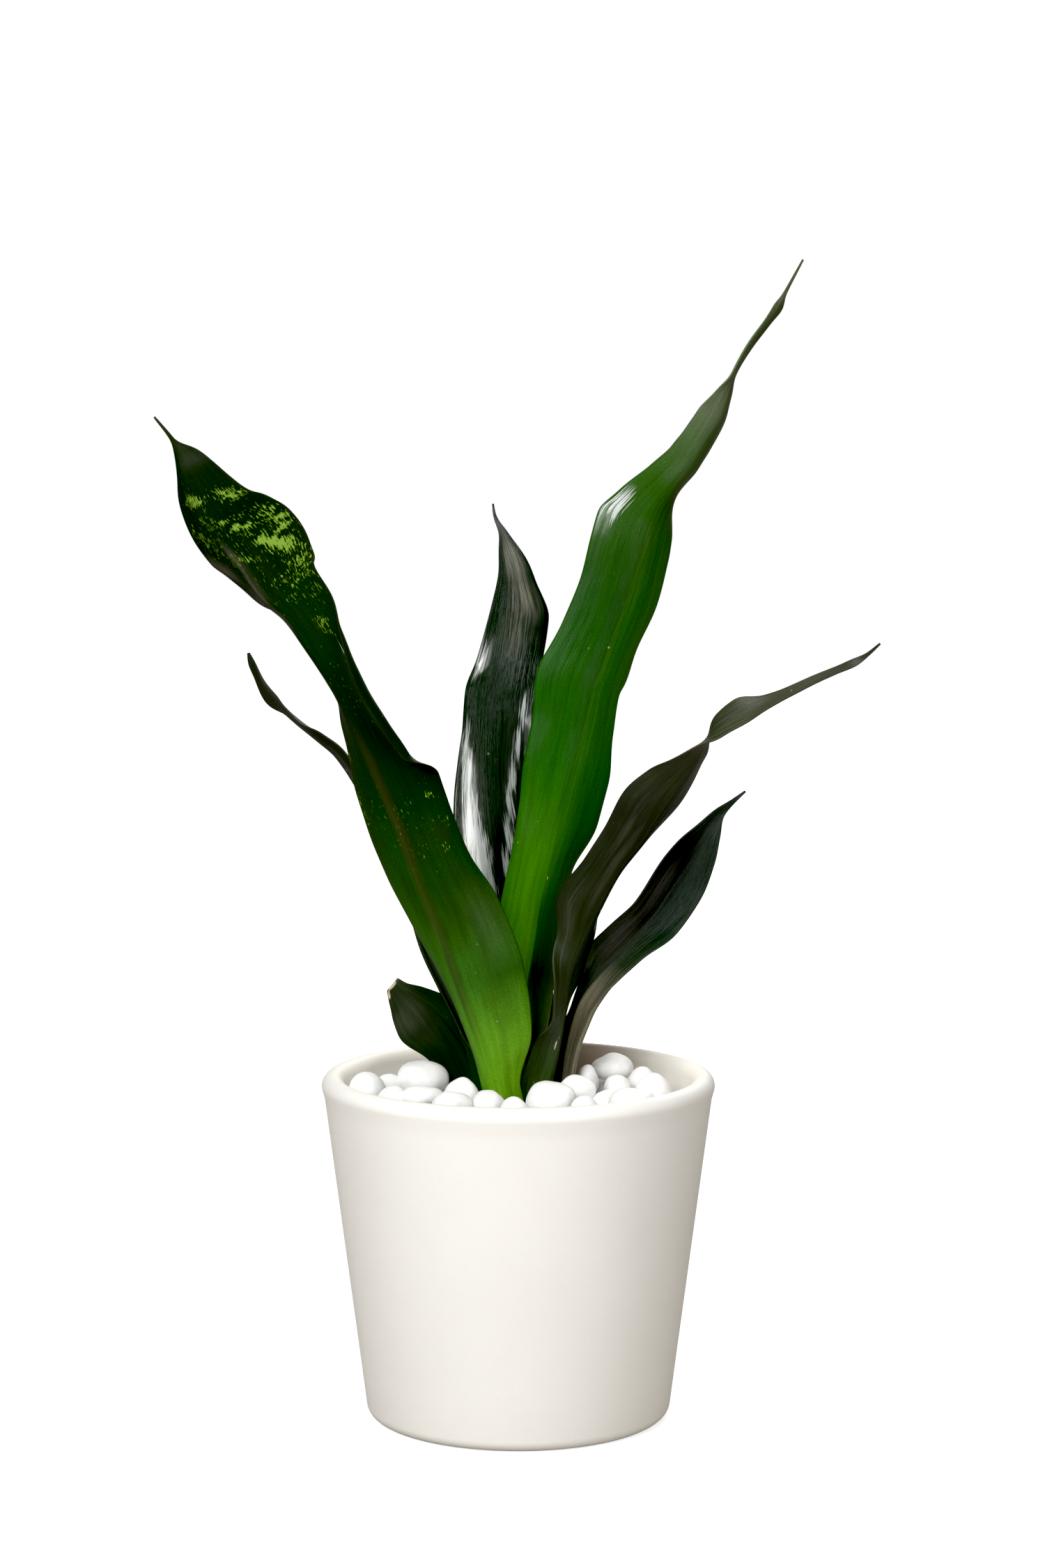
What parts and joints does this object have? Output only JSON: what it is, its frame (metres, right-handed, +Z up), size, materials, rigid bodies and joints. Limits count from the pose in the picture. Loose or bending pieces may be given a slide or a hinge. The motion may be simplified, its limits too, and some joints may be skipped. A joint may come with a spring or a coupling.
{
  "type": "potted snake plant",
  "caption": "Snake plant with long twisted sword leaves in a round tapered cachepot, its soil covered with smooth white stones.",
  "frame": {"origin": "centre of the pot's underside, on the floor", "axes": "+Z up along the pot's axis; the plant's front looks along -Y, with +X to its viewer's right"},
  "size_m": [0.2631, 0.1498, 0.4412],
  "materials": {
    "pot_glaze": "matt cream glaze with a very fine grain",
    "soil_mix": null,
    "rhizome_skin": null,
    "stone_white": "tumbled white stone, matt and smooth",
    "leaf_front_left_green": "succulent leaf, satin, dark green with yellow-green bands",
    "leaf_tall_centre_green": "succulent leaf, satin, bright green",
    "leaf_back_centre_green": "succulent leaf, glossy, very dark green with grey streaks",
    "leaf_long_right_green": "succulent leaf, satin, olive brown",
    "leaf_low_right_green": "succulent leaf, satin, bottle green",
    "leaf_thin_left_green": "succulent leaf, satin, grey green",
    "leaf_short_left_green": "succulent leaf, satin, dark grey green with a dry tip"
  },
  "bodies": {
    "root": {"leaf_back_centre": "leaf_back_centre_green", "leaf_front_left": "leaf_front_left_green", "leaf_long_right": "leaf_long_right_green", "leaf_low_right": "leaf_low_right_green", "leaf_short_left": "leaf_short_left_green", "leaf_tall_centre": "leaf_tall_centre_green", "leaf_thin_left": "leaf_thin_left_green", "pebble_01": "stone_white", "pebble_02": "stone_white", "pebble_03": "stone_white", "pebble_04": "stone_white", "pebble_05": "stone_white", "pebble_06": "stone_white", "pebble_07": "stone_white", "pebble_08": "stone_white", "pebble_09": "stone_white", "pebble_10": "stone_white", "pebble_11": "stone_white", "pebble_12": "stone_white", "pebble_13": "stone_white", "pebble_14": "stone_white", "pebble_15": "stone_white", "pebble_16": "stone_white", "pebble_17": "stone_white", "pebble_18": "stone_white", "pebble_19": "stone_white", "pebble_20": "stone_white", "pebble_21": "stone_white", "pebble_22": "stone_white", "pebble_23": "stone_white", "pebble_24": "stone_white", "pebble_25": "stone_white", "pebble_26": "stone_white", "pebble_27": "stone_white", "pebble_28": "stone_white", "pebble_29": "stone_white", "pebble_30": "stone_white", "pebble_31": "stone_white", "pebble_32": "stone_white", "pebble_33": "stone_white", "pebble_34": "stone_white", "pebble_35": "stone_white", "pebble_36": "stone_white", "pebble_37": "stone_white", "pebble_38": "stone_white", "pebble_39": "stone_white", "pebble_40": "stone_white", "pebble_41": "stone_white", "pebble_42": "stone_white", "pebble_43": "stone_white", "pebble_44": "stone_white", "pebble_45": "stone_white", "pebble_46": "stone_white", "pebble_47": "stone_white", "pot": "pot_glaze", "rhizome": "rhizome_skin", "soil": "soil_mix"}
  },
  "joints": []
}
